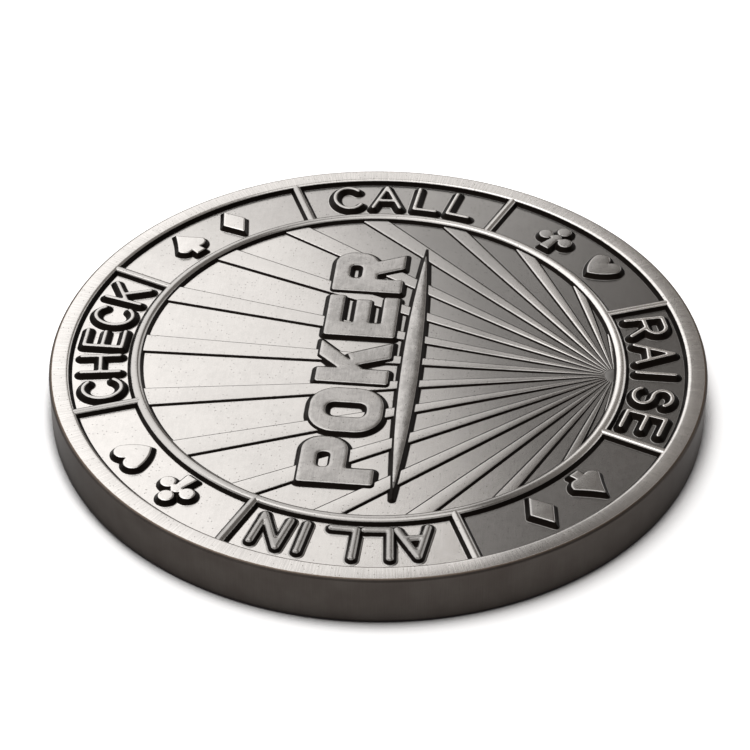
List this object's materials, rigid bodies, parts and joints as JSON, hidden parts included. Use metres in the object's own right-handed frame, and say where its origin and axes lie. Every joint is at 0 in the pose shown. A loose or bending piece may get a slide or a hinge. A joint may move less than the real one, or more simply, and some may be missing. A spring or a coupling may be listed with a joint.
{
  "type": "challenge coin",
  "caption": "Round card-guard coin struck on both faces: raised rim, inner ring, betting words and card suits around a ray fan with a title.",
  "frame": {"origin": "centre of the lower face, on the plane that the coin rests on", "axes": "+Z out of the upper face, along the coin's axis; +Y to the upper face's twelve o'clock (the word CHECK); +X to its three o'clock (the word CALL)"},
  "size_m": [0.05, 0.05, 0.004],
  "materials": {
    "field": "antique nickel plate, satin sunk field, dark plain edge",
    "rim": "antique nickel plate, polished rim",
    "border_relief": "antique nickel plate, bright tops and black patina on the walls",
    "title_relief": "antique nickel plate, satin tops and black patina on the walls",
    "ray_relief": "antique nickel plate, satin low rays with dark walls"
  },
  "bodies": {
    "root": {"coin_body": "field", "front_rim": "rim", "front_inner_ring": "border_relief", "front_dividers": "border_relief", "front_word_check": "border_relief", "front_word_call": "border_relief", "front_word_raise": "border_relief", "front_word_all_in": "border_relief", "front_spades": "border_relief", "front_diamonds": "border_relief", "front_clubs": "border_relief", "front_hearts": "border_relief", "front_title": "title_relief", "front_title_rule": "title_relief", "front_sun": "ray_relief", "front_rays": "ray_relief", "back_rim": "rim", "back_inner_ring": "border_relief", "back_dividers": "border_relief", "back_word_check": "border_relief", "back_word_call": "border_relief", "back_word_raise": "border_relief", "back_word_all_in": "border_relief", "back_spades": "border_relief", "back_diamonds": "border_relief", "back_clubs": "border_relief", "back_hearts": "border_relief", "back_title": "title_relief", "back_title_rule": "title_relief", "back_sun": "ray_relief", "back_rays": "ray_relief"}
  },
  "joints": []
}
